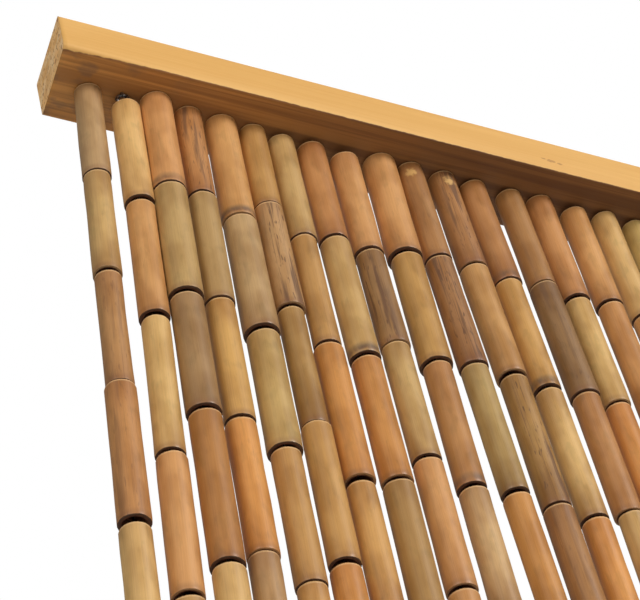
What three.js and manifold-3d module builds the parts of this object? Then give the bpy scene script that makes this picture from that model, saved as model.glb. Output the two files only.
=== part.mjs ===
// Bamboo door curtain: strands of bamboo tubes that hang side by side from a wooden headrail.
// Millimetres, +Z up. X runs along the headrail and -Y is the front of the curtain.
// The origin is the middle of the headrail's top face, where it is fixed under a door frame.
import * as THREE from 'three';
import { mergeVertices } from 'three/addons/utils/BufferGeometryUtils.js';
import Module from 'manifold-3d';

const wasm = await Module();
wasm.setup();

// Headrail
const RAIL_LENGTH = 905;
const RAIL_DEPTH = 32;
const RAIL_HEIGHT = 18;
const RAIL_EASED_EDGE = 0.8;
const RAIL_END_SKEW = 2.7;
const RAIL_END_SLANT = 1.2;

// Strands
const STRANDS = 64;
const STRANDS_PER_STRIP = 8;
const END_MARGIN = 16.4;
const STRAND_LINE_Y = 1.4;
const TUBES_PER_STRAND = 36;
const TUBE_LENGTH = 55;
const TUBE_LENGTH_SPREAD = 4;
const TUBE_DIAMETER = 10;
const STRAND_LENGTH = TUBES_PER_STRAND * TUBE_LENGTH;
const STRAND_LENGTH_SPREAD = 7;
const EYE_SPREAD = 0.6;
const EYE_DROP = 1;
const FORWARD_SPREAD = 0.4;
const SIDES = 3;

// Waists: the strand narrows where every third pair of tubes meets
const TUBES_PER_WAIST = 3;
const WAIST_WIDTH = 4.4;
const WAIST_HALF_HEIGHT = 3.2;

// Root strip, which stands for the line of screw eyes, and the neck of each strand under it
const STRIP_GAP = 0.3;
const STRIP_THICKNESS = 0.9;
const STRIP_WIDTH = 3;
const STRIP_END_GAP = 0.6;
const NECK_WIDTH = 2.2;
const NECK_OVERLAP = 0.5;
const NECK_HEIGHT = 0.5;
const SHOULDER_HEIGHT = 0.3;

// The strands at the left end, as they hang: the shift of the eye along the rail, how far forward
// and how low the strand sits, its bow to the right at half height, and its first tubes' lengths.
const LEFT_STRANDS = [
  { shift: 0.0, forward: 0.0, drop: 0.0, bow: -2, tubes: [47, 51, 51, 58.5] },
  { shift: 0.5, forward: 0.0, drop: 4.0, bow: 0, tubes: [54, 57.5, 60.5] },
  { shift: -2.8, forward: 3.0, drop: 0.0, bow: 4, tubes: [49.5, 55.5, 53, 62] },
  { shift: -3.4, forward: 1.0, drop: 0.0, bow: 3, tubes: [47.5, 54, 55] },
  { shift: -3.7, forward: 0.0, drop: 0.0, bow: 9, tubes: [54.5, 57.5, 53] },
  { shift: -4.8, forward: 0.0, drop: 0.0, bow: 9, tubes: [43, 53.5, 54, 59] },
  { shift: -7.1, forward: 0.0, drop: 1.9, bow: 9, tubes: [54.5, 55, 62] },
  { shift: -8.5, forward: 0.0, drop: 2.0, bow: 14, tubes: [52, 60, 56] },
  { shift: -9.0, forward: 0.0, drop: 3.8, bow: 16, tubes: [52.5, 47, 54] },
  { shift: -7.5, forward: 0.0, drop: 0.0, bow: 14, tubes: [54, 55, 57.5] },
  { shift: -8.5, forward: 0.6, drop: 0.0, bow: 24, tubes: [51.5, 55, 59.5] },
  { shift: -7.9, forward: 0.0, drop: 0.0, bow: 31, tubes: [51, 56.5, 60] },
  { shift: -8.3, forward: 0.0, drop: 0.7, bow: 30, tubes: [54, 56, 59.5] },
  { shift: -6.3, forward: 0.0, drop: 0.8, bow: 30, tubes: [51, 57] },
  { shift: -6.5, forward: 0.0, drop: 0.0, bow: 29, tubes: [56.5, 54] },
  { shift: -4.6, forward: 0.0, drop: 1.8, bow: 27, tubes: [52.5] },
];
const BOW_FADE_STRANDS = 26;

// What each use of the spread is for; tube lengths take one use each, from USE.tubes on.
const USE = { shift: 1, forward: 2, drop: 3, total: 4, tubes: 10 };

// Points nearer than this are one point.
const MERGE_DISTANCE = 1e-4;

const RAIL_TOP = 0;
const RAIL_BOTTOM = RAIL_TOP - RAIL_HEIGHT;
const STRIP_TOP = RAIL_BOTTOM - STRIP_GAP;
const STRIP_BOTTOM = STRIP_TOP - STRIP_THICKNESS;
const STRANDS_TOP = STRIP_BOTTOM - NECK_HEIGHT;
const PITCH = (RAIL_LENGTH - 2 * END_MARGIN) / (STRANDS - 1);

// A repeatable number between -1 and 1 for each strand and use.
function spread(strand, use) {
  const wave = Math.sin(strand * 12.9898 + use * 78.233) * 43758.5453;
  return 2 * (wave - Math.floor(wave)) - 1;
}

// How one strand hangs, with the height of each joint between its tubes.
function strandPlan(strand) {
  const last = LEFT_STRANDS[LEFT_STRANDS.length - 1];
  const past = strand - LEFT_STRANDS.length + 1;
  const fade = Math.max(0, 1 - past / BOW_FADE_STRANDS);
  const plain = {
    shift: last.shift * fade + EYE_SPREAD * spread(strand, USE.shift),
    forward: FORWARD_SPREAD * spread(strand, USE.forward),
    drop: EYE_DROP * (1 + spread(strand, USE.drop)),
    bow: last.bow * fade,
    tubes: [],
  };
  const hang = LEFT_STRANDS[strand] ?? plain;
  const lengths = hang.tubes.slice();
  while (lengths.length < TUBES_PER_STRAND) {
    lengths.push(TUBE_LENGTH + TUBE_LENGTH_SPREAD * spread(strand, USE.tubes + lengths.length));
  }
  const fixed = hang.tubes.reduce((sum, length) => sum + length, 0);
  const free = lengths.reduce((sum, length) => sum + length, 0) - fixed;
  const total = STRAND_LENGTH + STRAND_LENGTH_SPREAD * spread(strand, USE.total);
  const stretch = (total - fixed) / free;
  const top = STRANDS_TOP - hang.drop;
  const joints = [top];
  lengths.forEach((length, tube) => {
    joints.push(joints[tube] - length * (tube < hang.tubes.length ? 1 : stretch));
  });
  const x = -RAIL_LENGTH / 2 + END_MARGIN + strand * PITCH + hang.shift;
  return { x, y: STRAND_LINE_Y - hang.forward, bow: hang.bow, joints };
}

// The strand's side shift at a height: a slow bow that is nothing at its top and bottom.
function bowAt(plan, z) {
  const top = plan.joints[0];
  const bottom = plan.joints[TUBES_PER_STRAND];
  const along = Math.min(1, Math.max(0, (top - z) / (top - bottom)));
  return plan.bow * Math.sin(Math.PI * along);
}

// One ring of a strand: an even polygon with a corner to the front, as wide as it says.
function ring(plan, z, width, y = plan.y) {
  const radius = width / (2 * Math.cos(Math.PI / (2 * SIDES)));
  const points = [];
  for (let side = 0; side < SIDES; side += 1) {
    const angle = -Math.PI / 2 + (2 * Math.PI * side) / SIDES;
    points.push([
      plan.x + bowAt(plan, z) + radius * Math.cos(angle),
      y + radius * Math.sin(angle),
      z,
    ]);
  }
  return points;
}

// A closed body through a list of rings, from the highest to the lowest.
function loft(rings) {
  const positions = rings.flat(2);
  const faces = [];
  for (let row = 0; row + 1 < rings.length; row += 1) {
    for (let side = 0; side < SIDES; side += 1) {
      const next = (side + 1) % SIDES;
      const upper = row * SIDES;
      const lower = upper + SIDES;
      faces.push(upper + side, lower + side, lower + next);
      faces.push(upper + side, lower + next, upper + next);
    }
  }
  const lastRing = (rings.length - 1) * SIDES;
  for (let side = 1; side + 1 < SIDES; side += 1) {
    faces.push(0, side, side + 1);
    faces.push(lastRing, lastRing + side + 1, lastRing + side);
  }
  const geometry = new THREE.BufferGeometry();
  geometry.setAttribute('position', new THREE.Float32BufferAttribute(positions, 3));
  geometry.setIndex(faces);
  return geometry;
}

// A strand: its neck under the strip, then its tubes with a waist at every third joint.
function strandGeometry(plan) {
  const top = plan.joints[0];
  const rings = [
    ring(plan, STRIP_BOTTOM + NECK_OVERLAP, NECK_WIDTH, STRAND_LINE_Y),
    ring(plan, top, NECK_WIDTH),
    ring(plan, top - SHOULDER_HEIGHT, TUBE_DIAMETER),
  ];
  for (let joint = TUBES_PER_WAIST; joint < TUBES_PER_STRAND; joint += TUBES_PER_WAIST) {
    const z = plan.joints[joint];
    rings.push(ring(plan, z + WAIST_HALF_HEIGHT, TUBE_DIAMETER));
    rings.push(ring(plan, z, WAIST_WIDTH));
    rings.push(ring(plan, z - WAIST_HALF_HEIGHT, TUBE_DIAMETER));
  }
  rings.push(ring(plan, plan.joints[TUBES_PER_STRAND], TUBE_DIAMETER));
  return loft(rings);
}

function toSolid(geometry) {
  const bare = geometry.clone();
  bare.deleteAttribute('normal');
  bare.deleteAttribute('uv');
  const merged = mergeVertices(bare, MERGE_DISTANCE);
  return new wasm.Manifold(new wasm.Mesh({
    numProp: 3,
    vertProperties: new Float32Array(merged.attributes.position.array),
    triVerts: new Uint32Array(merged.index.array),
  }));
}

function toGeometry(solid) {
  const mesh = solid.getMesh();
  const geometry = new THREE.BufferGeometry();
  geometry.setAttribute('position', new THREE.BufferAttribute(mesh.vertProperties, 3));
  geometry.setIndex(new THREE.BufferAttribute(mesh.triVerts, 1));
  geometry.computeVertexNormals();
  return geometry;
}

// A root strip with its strands fused into it.
function stripGeometry(plans, firstX, lastX) {
  const length = lastX - firstX;
  const box = new THREE.BoxGeometry(length, STRIP_WIDTH, STRIP_THICKNESS);
  box.translate(firstX + length / 2, STRAND_LINE_Y, STRIP_TOP - STRIP_THICKNESS / 2);
  let solid = toSolid(box);
  for (const plan of plans) {
    solid = solid.add(toSolid(strandGeometry(plan)));
  }
  return toGeometry(solid);
}

// The headrail: a batten with eased long edges, its left end sawn a little out of square both ways.
function headrailGeometry() {
  const halfDepth = RAIL_DEPTH / 2;
  const e = RAIL_EASED_EDGE;
  const section = new THREE.Shape();
  section.moveTo(-halfDepth + e, RAIL_TOP);
  section.lineTo(-halfDepth, RAIL_TOP - e);
  section.lineTo(-halfDepth, RAIL_BOTTOM + e);
  section.lineTo(-halfDepth + e, RAIL_BOTTOM);
  section.lineTo(halfDepth - e, RAIL_BOTTOM);
  section.lineTo(halfDepth, RAIL_BOTTOM + e);
  section.lineTo(halfDepth, RAIL_TOP - e);
  section.lineTo(halfDepth - e, RAIL_TOP);
  section.closePath();
  const geometry = new THREE.ExtrudeGeometry(section, { depth: RAIL_LENGTH, bevelEnabled: false, steps: 1 });
  const place = geometry.attributes.position;
  for (let point = 0; point < place.count; point += 1) {
    const y = place.getX(point);
    const z = place.getY(point);
    const along = place.getZ(point);
    const atLeftEnd = along < RAIL_LENGTH / 2;
    const skew = RAIL_END_SKEW * (0.5 + y / RAIL_DEPTH);
    const slant = RAIL_END_SLANT * ((RAIL_TOP - z) / RAIL_HEIGHT);
    const cut = atLeftEnd ? skew + slant : 0;
    place.setXYZ(point, along - RAIL_LENGTH / 2 + cut, y, z);
  }
  geometry.computeVertexNormals();
  return geometry;
}

function addPiece(group, name, geometry, material) {
  const mesh = new THREE.Mesh(geometry, material);
  mesh.name = name;
  group.add(mesh);
}

const curtain = new THREE.Group();
const railWood = new THREE.MeshStandardMaterial({ color: 0xdcae68, roughness: 0.45, metalness: 0 });
addPiece(curtain, 'headrail', headrailGeometry(), railWood);

const plans = Array.from({ length: STRANDS }, (_, strand) => strandPlan(strand));
const strips = STRANDS / STRANDS_PER_STRIP;
let stripStart = -RAIL_LENGTH / 2 + STRIP_END_GAP + RAIL_END_SKEW + RAIL_END_SLANT;
for (let strip = 0; strip < strips; strip += 1) {
  const first = strip * STRANDS_PER_STRIP;
  const group = plans.slice(first, first + STRANDS_PER_STRIP);
  const nextPlan = plans[first + STRANDS_PER_STRIP];
  const border = nextPlan
    ? (group[STRANDS_PER_STRIP - 1].x + nextPlan.x) / 2
    : RAIL_LENGTH / 2 - STRIP_END_GAP;
  const bamboo = new THREE.MeshStandardMaterial({ color: 0xc08a4e, roughness: 0.5, metalness: 0 });
  const name = `strands_${String(strip + 1).padStart(2, '0')}`;
  addPiece(curtain, name, stripGeometry(group, stripStart, border - STRIP_END_GAP / 2), bamboo);
  stripStart = border + STRIP_END_GAP / 2;
}

export default curtain;
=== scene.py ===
import math

import bpy
import numpy as np
from mathutils import Matrix, Vector


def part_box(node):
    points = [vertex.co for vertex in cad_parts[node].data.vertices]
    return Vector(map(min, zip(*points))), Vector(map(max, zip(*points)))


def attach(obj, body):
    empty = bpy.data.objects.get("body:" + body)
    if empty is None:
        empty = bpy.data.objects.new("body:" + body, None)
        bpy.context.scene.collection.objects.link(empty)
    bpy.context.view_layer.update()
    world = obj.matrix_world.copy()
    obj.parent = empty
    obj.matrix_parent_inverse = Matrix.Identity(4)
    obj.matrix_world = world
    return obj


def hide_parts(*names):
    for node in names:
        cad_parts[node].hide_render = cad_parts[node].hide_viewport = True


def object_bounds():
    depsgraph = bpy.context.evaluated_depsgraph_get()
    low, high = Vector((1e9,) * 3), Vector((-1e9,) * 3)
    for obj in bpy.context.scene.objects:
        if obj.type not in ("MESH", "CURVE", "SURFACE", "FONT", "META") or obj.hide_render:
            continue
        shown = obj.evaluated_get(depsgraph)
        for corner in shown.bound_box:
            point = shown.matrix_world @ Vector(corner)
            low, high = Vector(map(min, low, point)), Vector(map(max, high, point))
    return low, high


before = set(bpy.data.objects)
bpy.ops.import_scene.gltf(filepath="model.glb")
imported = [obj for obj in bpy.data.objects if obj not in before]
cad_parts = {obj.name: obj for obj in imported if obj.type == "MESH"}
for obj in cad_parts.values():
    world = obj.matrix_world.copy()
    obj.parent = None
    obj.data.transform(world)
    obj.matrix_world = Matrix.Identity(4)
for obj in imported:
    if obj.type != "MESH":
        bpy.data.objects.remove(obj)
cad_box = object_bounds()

MM = 0.001
UP = Vector((0, 0, 1))
WHITE = (1, 1, 1, 1)
scene = bpy.context.scene

# The photograph's camera. Its clip distances are in metres.
PHOTO_WIDTH_PIXELS = 640
FOCAL_PIXELS = 2141.5
SENSOR_MM = 36.0
CAMERA_PLACE_MM = (-635.1, -436.7, -636.6)
CAMERA_YAW = math.radians(32.36)
CAMERA_PITCH = math.radians(45.71)
CAMERA_ROLL = math.radians(12.11)
CLIP_START = 0.01
CLIP_END = 100

# Lights, in metres and watts, and the white studio's own soft light
LIGHTS = [
    dict(name="key_light", place=(1.5, -3.7, 1.3), target=(-0.2, 0, -0.4), size=1.5, power=122,
         hue=(1.0, 0.97, 0.93)),
    dict(name="side_light", place=(-3.2, -2.6, 0.5), target=(-0.2, 0, -0.4), size=2.2, power=56,
         hue=(1.0, 0.97, 0.92)),
    dict(name="back_light", place=(1.8, 3.6, 0.8), target=(0, 0, -0.9), size=2.0, power=60, hue=(1, 1, 1)),
]
STUDIO_TINT = (1.0, 0.98, 0.95, 1)
STUDIO_STRENGTH = 0.21

# Floor, in metres: how far under the curtain it lies, how far it reaches, and where it fades to white
FLOOR_DROP = 0.04
FLOOR_REACH = 12
FLOOR_FADE_START = 0.8
FLOOR_FADE_END = 4.0
FLOOR_DEEP = (0.80, 0.80, 0.79, 1)
FLOOR_PALE = (0.84, 0.84, 0.83, 1)

# Headrail, in millimetres like all that follows. Its left end is skewed and slanted, and its front lower
# edge is worn there. Its edges wave a little: turn for each millimetre, share and start of each wave.
RAIL_LOW, RAIL_HIGH = (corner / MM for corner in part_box("headrail"))
RAIL_LENGTH = 2 * RAIL_HIGH.x
RAIL_LEFT = -RAIL_HIGH.x
RAIL_DEPTH = RAIL_HIGH.y - RAIL_LOW.y
RAIL_BOTTOM = RAIL_LOW.z
RAIL_END_SKEW = 2.7
RAIL_END_SLANT = 1.2
RAIL_EDGE = 0.7
RAIL_BACK_EDGE = 0.9
RAIL_WORN_EDGE = 3.0
RAIL_WORN_REACH = 38
RAIL_WORN_CURVE = 1.5
RAIL_WAVE = 0.04
RAIL_WAVES = ((0.071, 1.0, 0.0), (0.173, 0.6, 1.0))
RAIL_FINE_STEP = 2
RAIL_COARSE_STEP = 8
CORNER_STEPS = 4

# Small dark marks on the headrail's front: place along it, height and size
BLEMISHES = ((-246.4, -12.6, 1.0), (-250.4, -12.1, 1.5), (-253.6, -11.7, 0.8))

# How far from the left end the underside's painted shade starts and ends to deepen, and its smudges fade
# out
UNDERSIDE_SHADE_REACH = (-40, 180)
SMUDGES_REACH = (70, 10)

# Strands, as the solids have them
STRANDS = 64
STRANDS_PER_GROUP = 8
END_MARGIN = 16.4
STRAND_LINE_Y = 1.4
TUBES_PER_STRAND = 36
TUBE_LENGTH = 55
TUBE_LENGTH_SPREAD = 4
STRAND_LENGTH = TUBES_PER_STRAND * TUBE_LENGTH
STRAND_LENGTH_SPREAD = 7
EYE_SPREAD = 0.6
FORWARD_SPREAD = 0.4
EYE_DROP = 1
TOP_CLEARANCE = 1.7
BOW_FADE_STRANDS = 26
PITCH = (RAIL_LENGTH - 2 * END_MARGIN) / (STRANDS - 1)

# Numbers that scatter strands and uses, the same in the solids
STRAND_TURN = 12.9898
USE_TURN = 78.233
SCATTER = 43758.5453

# Which of a strand's repeatable numbers each use takes. The solids have the same, but for the eye's turn.
SHIFT_USE = 1
FORWARD_USE = 2
DROP_USE = 3
LENGTH_USE = 4
EYE_TURN_USE = 7
FIRST_TUBE_USE = 10

# How far a strand's first tube rises above its first joint, the gaps between a tube and the next one down,
# how thick tubes are, and how far a tube strays from its line, at random and where the photograph shows it
TOP_RISE = 1.4
GAP_LEAST = 0.4
GAP_MOST = 2.3
GAP_BIAS = 1.6
TUBE_WIDTH = 10
TUBE_WIDTH_SPREAD = 0.54
JOINT_STRAY = 0.3
PHOTO_STRAY = 0.08

# Random numbers of a group of strands start from this plus the group's number
GROUP_SEED = 40

# The strands at the left end: eye shift, how far forward and how low the strand sits, bow at half height,
# its first tubes' lengths, the gaps under them, their widths, how far their joints lie aside of the bow,
# and their natural colours. Past the listed joints a strand nears its bow again by a share at each joint.
PLAIN_STRAND = dict(forward=0.0, drop=0.0, tubes=(), gaps=(), widths=(), aside=(0.0,), stains=())
LEFT_STRANDS = [
    dict(shift=0.0, bow=-2, tubes=(47, 51, 51, 58.5), gaps=(0.3, 1.4, 0.4, 2.6),
         widths=(10.2, 9.7, 9.2, 10.4, 10.2), aside=(-0.3, -0.2, 0.0),
         stains=("dim dusk", "dim straw", "deep peach", "rust", "straw")),
    dict(shift=0.5, drop=4.0, bow=0, tubes=(54, 57.5, 60.5), gaps=(2.0, 2.2, 1.6),
         widths=(10.9, 10.4, 9.7, 10.3), aside=(-0.3, 0.3, 0.3, -0.5, -0.9),
         stains=("pale straw", "peach", "pale straw", "peach", "straw")),
    dict(shift=-2.8, forward=3.0, bow=4, tubes=(49.5, 55.5, 53, 62), gaps=(0.7, 1.8, 1.8, 1.7),
         widths=(12.1, 12.2, 11.5, 10.9, 10.6),
         stains=("peach", "deep straw", "deep mauve", "dark orange", "straw")),
    dict(shift=-3.4, forward=1.0, bow=3, tubes=(47.5, 54, 55), gaps=(1.2, 0.5, 1.2),
         widths=(10.4, 10.8, 10.3, 10.4), aside=(0.0, 0.0, 0.0, 0.2, 0.3),
         stains=("rust", "dark straw", "honey", "orange", "mauve")),
    dict(shift=-3.7, bow=9, tubes=(54.5, 57.5, 53), gaps=(0.8, 1.9, 1.3),
         widths=(12.2, 12.4, 11.6, 10.1), aside=(0.0, 0.0, 0.0, -0.2, -0.3),
         stains=("peach", "dim dusk", "olive", "deep honey", "honey")),
    dict(shift=-4.8, bow=9, tubes=(43, 53.5, 54, 59), gaps=(0.3, 1.3, 0.5, 2.0),
         widths=(10.5, 10.9, 9.5, 10.4, 10.4),
         stains=("dim honey", "mauve", "dark honey", "dim honey", "orange")),
    dict(shift=-7.1, drop=1.9, bow=9, tubes=(54.5, 55, 62), gaps=(0.4, 1.3, 2.1),
         widths=(10.4, 9.7, 10.8, 10.0), aside=(0.0, 0.0, 0.0, 0.3, 0.6),
         stains=("deep straw", "deep honey", "dim orange", "honey")),
    dict(shift=-8.5, drop=2.0, bow=14, tubes=(52, 60, 56), gaps=(1.4, 1.8, 1.7),
         widths=(11.1, 11.2, 10.8, 10.9), aside=(0.0, 0.0, 0.5, 0.8, 0.3),
         stains=("rust", "dim straw", "dim orange", "dark honey")),
    dict(shift=-9.0, drop=3.8, bow=16, tubes=(52.5, 47, 54), gaps=(0.8, 0.4, 1.5),
         widths=(11.4, 10.7, 10.2, 10.4), aside=(0.0, 0.0, 0.3, 0.3, 0.2),
         stains=("peach", "umber", "dim straw", "peach")),
    dict(shift=-7.5, bow=14, tubes=(54, 55, 57.5), gaps=(1.6, 1.2, 1.6),
         widths=(13.1, 11.9, 10.4, 10.3), aside=(0.0, 0.0, 0.0, 0.0, 0.5),
         stains=("peach", "deep honey", "rust", "dusk")),
    dict(shift=-8.5, forward=0.6, bow=24, tubes=(51.5, 55, 59.5), gaps=(0.8, 0.8, 1.9),
         widths=(10.6, 10.7, 10.0, 9.9), aside=(0.0, 0.2, 0.5, 1.0, 1.5),
         stains=("deep rust", "dark rust", "dim olive", "dim orange")),
    dict(shift=-7.9, bow=31, tubes=(51, 56.5, 60), gaps=(1.0, 1.8, 0.9),
         widths=(10.9, 11.2, 10.4, 10.8), aside=(0.0, 0.2, 0.5, 0.2),
         stains=("deep rust", "dim peach", "dark honey", "deep rust")),
    dict(shift=-8.3, drop=0.7, bow=30, tubes=(54, 56, 59.5), gaps=(0.3, 1.7, 1.2),
         widths=(11.0, 10.4, 10.2, 10.2), aside=(0.0, 0.3, 0.6, 0.7),
         stains=("dim rust", "dim honey", "pale straw", "orange")),
    dict(shift=-6.3, drop=0.8, bow=30, tubes=(51, 57), gaps=(0.7, 0.7),
         widths=(10.6, 11.1, 10.2), aside=(0.0, 0.4, 0.6, 0.3),
         stains=("deep rust", "dim umber", "dim rust")),
    dict(shift=-6.5, bow=29, tubes=(56.5, 54), gaps=(1.4, 0.9),
         widths=(11.1, 10.4), stains=("rust", "straw", "orange")),
    dict(shift=-4.6, drop=1.8, bow=27, tubes=(52.5,), gaps=(1.1,),
         widths=(10.8,), stains=("peach", "rust")),
]
ASIDE_FADE = 0.6

# Marks on single tubes, by strand and tube counted from 1: dark streaks and the side they lie on in
# degrees, a dark node, and a pale chip with its side. Side -127 faces the photograph's camera.
CAMERA_SIDE = -127
MARKS = {
    (1, 3): dict(streaks=0.4, side=-100), (1, 4): dict(streaks=0.4), (3, 1): dict(node=0.7),
    (4, 1): dict(streaks=0.9, side=-100), (5, 1): dict(node=0.9), (6, 2): dict(streaks=1.0, side=-90),
    (8, 2): dict(node=1.0), (9, 2): dict(streaks=1.0, side=-140), (10, 3): dict(node=0.8),
    (11, 1): dict(chip=0.8, side=-120, streaks=0.3), (11, 2): dict(streaks=1.0, side=-110),
    (12, 1): dict(chip=1.0, side=-93, streaks=1.0), (12, 3): dict(streaks=1.0, side=-100),
    (12, 4): dict(streaks=0.4), (13, 1): dict(node=0.7), (13, 2): dict(node=1.0),
    (14, 2): dict(streaks=0.5, side=-130),
}

# Natural colours of the tubes, as tones from 0 to 255 without light and shade
STAINS = {
    "straw": (208, 169, 108), "honey": (206, 157, 90), "orange": (208, 145, 76), "peach": (204, 151, 93),
    "rust": (190, 135, 80), "mauve": (181, 142, 94), "umber": (150, 113, 70), "olive": (186, 154, 96),
    "dusk": (196, 159, 112),
}
STAIN_SHARES = {
    "straw": 16, "honey": 15, "orange": 13, "peach": 18, "rust": 11, "mauve": 8, "umber": 5, "olive": 8,
    "dusk": 6,
}

# What a word before a stain's name multiplies it by, and the same for tubes that the photograph cuts off
SHADES = {"pale": 1.10, "dim": 0.89, "deep": 0.77, "dark": 0.65}
UNSEEN_SHADE = 0.92

# How tubes differ: the spread of their lightness, the share of it that tubes in the photograph have, the
# hue's share of it, the shade at their ends, how many have a pale foot or a dark node, and how strong their
# streaks are
STAIN_SPREAD = 0.07
PHOTO_SPREAD_SHARE = 0.5
HUE_SHARE = 0.3
END_SHADE = 0.75
PALE_FEET = 0.3
DARK_NODES = 0.18
FAINT_STREAKS = 0.1
STREAK_RISE = 1.6
STREAK_START = 0.85

# Tones of the finishes, from 0 to 255
TONES = {
    "streak": (92, 60, 40), "node": (98, 78, 60), "foot": (128, 80, 48), "lip": (228, 188, 136),
    "chip": (216, 172, 104), "cut": (214, 176, 126), "cut pore": (120, 76, 46), "cut line": (150, 104, 66),
    # Tones on the next line are dark as painted shade, on a tube's bottom end and in its hollow
    "painted_foot_shade": (74, 46, 30), "deep bore": (98, 60, 38), "pale bore": (130, 82, 52),
    "deep varnish": (222, 170, 92), "pale varnish": (230, 180, 104), "varnish line": (196, 132, 62),
    "pale underside": (214, 148, 72), "deep underside": (122, 70, 30), "smudge": (104, 82, 66),
    "blemish": (150, 96, 50), "arris": (96, 52, 26), "deep end": (250, 196, 126),
    "pale end": (252, 216, 164), "end rim": (226, 168, 96), "end pore": (160, 92, 46),
}

# What these parts of a finish multiply the colour under them by
TINTS = {
    "deep patch": (0.86, 0.80, 0.72), "pale patch": (1.07, 1.06, 1.03), "grey patch": (0.84, 0.86, 0.84),
    "deep fibre": (0.955, 0.94, 0.92), "pale fibre": (1.02, 1.02, 1.01), "dark end": (0.62, 0.50, 0.42),
    "shaded underside": (0.31, 0.29, 0.33),
}
WIRE_TARNISH = (0.05, 0.047, 0.045, 1)
WIRE_BRIGHT = (0.36, 0.35, 0.34, 1)

# Where the marks of a tube start and where they are full, in millimetres from its end or the chip's middle
END_SHADE_REACH = (26.0, 6.0)
NODE_LOWER_REACH = (1.2, 3.0)
NODE_UPPER_REACH = (6.2, 3.4)
FOOT_REACH = (3.2, 0.8)
LIP_REACH = (1.0, 0.6)
CHIP_REACH = (4.9, 3.4)

# How far down a tube its chip lies, as a share of its length, and how far apart two tubes' patterns are
CHIP_DOWN = 0.12
PATTERN_SHIFT = (61.0, 17.0, 143.0)

# Zones of a tube's surface
SKIN = 0
CUT = 1
BORE = 2

# Tubes near enough to the photograph's camera for the finer form
NEAR_STRANDS = 20
NEAR_TUBES = 6

# A tube's outline from the top of its bore round to the bottom: radius share, height share, and what
# the stretch after each point is
NEAR_OUTLINE = [
    (0.720, 0.0, BORE), (0.900, 0.0, CUT), (0.970, -0.002, CUT), (0.992, -0.009, SKIN),
    (0.996, -0.12, SKIN), (0.992, -0.35, SKIN), (1.000, -0.60, SKIN), (1.012, -0.85, SKIN),
    (1.018, -0.975, SKIN), (1.014, -0.993, SKIN), (1.002, -0.998, CUT), (0.980, -1.0, CUT),
    (0.860, -1.0, BORE), (0.740, -0.998, BORE), (0.700, -0.93, BORE), (0.700, -0.07, BORE),
]
FAR_OUTLINE = [
    (0.72, 0.0, BORE), (0.99, -0.004, SKIN), (1.014, -0.994, CUT), (0.97, -1.0, BORE),
    (0.72, -1.0, BORE),
]
NEAR_SIDES = 24
FAR_SIDES = 12

# How uneven the tubes are: how far a point may move, and over what distance
TUBE_UNEVENNESS = 0.55
TUBE_LUMP_SIZE = 22
LUMP_SEED = 3
NOISE_MIDDLE = (0.5, 0.5, 0.5)

# Screw eyes, one of which stands aside of its strand so that it shows, and the wire through the tubes
EYE_RING_RADIUS = 2.0
EYE_WIRE_RADIUS = 0.8
EYE_WIRE_SIDES = 6
EYE_SHANK_LENGTH = 2.0
EYE_GAP = 0.2
EYE_RING_STEPS = 12
EYE_OPENING_STEPS = 0.4
EYE_TURN_SPREAD = 0.5
SEEN_EYE_STRAND = 1
SEEN_EYE_OFFSET = Vector((-2.6, -3.4, 0))
WIRE_RADIUS = 0.4
WIRE_SIDES = 5


def spread(strand, use):
    """A repeatable number between -1 and 1 for each strand and use."""
    wave = math.sin(strand * STRAND_TURN + use * USE_TURN) * SCATTER
    return 2 * (wave - math.floor(wave)) - 1


def linear(tone):
    """A tone from 0 to 255 as a linear colour value."""
    share = tone / 255
    return share / 12.92 if share <= 0.04045 else ((share + 0.055) / 1.055) ** 2.4


def colour(tones):
    """Tones from 0 to 255 as a linear colour."""
    return tuple(linear(tone) for tone in tones)


def paint(name):
    """A named tone of a finish as an opaque colour."""
    return (*colour(TONES[name]), 1)


def tint(name):
    """A named tint of a finish as an opaque colour."""
    return (*TINTS[name], 1)


# Camera, lights and surroundings

def add_camera():
    """The photograph's camera, from its place, its three angles and its focal length."""
    data = bpy.data.cameras.new("photo_camera")
    data.sensor_width = SENSOR_MM
    data.lens = FOCAL_PIXELS / PHOTO_WIDTH_PIXELS * SENSOR_MM
    data.clip_start = CLIP_START
    data.clip_end = CLIP_END
    camera = bpy.data.objects.new("photo_camera", data)
    scene.collection.objects.link(camera)
    ahead = Vector((
        math.sin(CAMERA_YAW) * math.cos(CAMERA_PITCH),
        math.cos(CAMERA_YAW) * math.cos(CAMERA_PITCH),
        math.sin(CAMERA_PITCH),
    ))
    level_right = Vector((math.cos(CAMERA_YAW), -math.sin(CAMERA_YAW), 0))
    level_up = level_right.cross(ahead)
    right = level_right * math.cos(CAMERA_ROLL) - level_up * math.sin(CAMERA_ROLL)
    up = level_up * math.cos(CAMERA_ROLL) + level_right * math.sin(CAMERA_ROLL)
    turn = Matrix((right, up, -ahead)).transposed().to_4x4()
    camera.matrix_world = Matrix.Translation(Vector(CAMERA_PLACE_MM) * MM) @ turn
    scene.camera = camera


def add_area_light(name, place, target, size, power, hue):
    """A round soft light that shines from its place to a target."""
    data = bpy.data.lights.new(name, "AREA")
    data.shape = "DISK"
    data.size = size
    data.energy = power
    data.color = hue
    light = bpy.data.objects.new(name, data)
    light.location = place
    aim = Vector(target) - Vector(place)
    light.rotation_euler = aim.to_track_quat("-Z", "Y").to_euler()
    scene.collection.objects.link(light)


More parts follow.
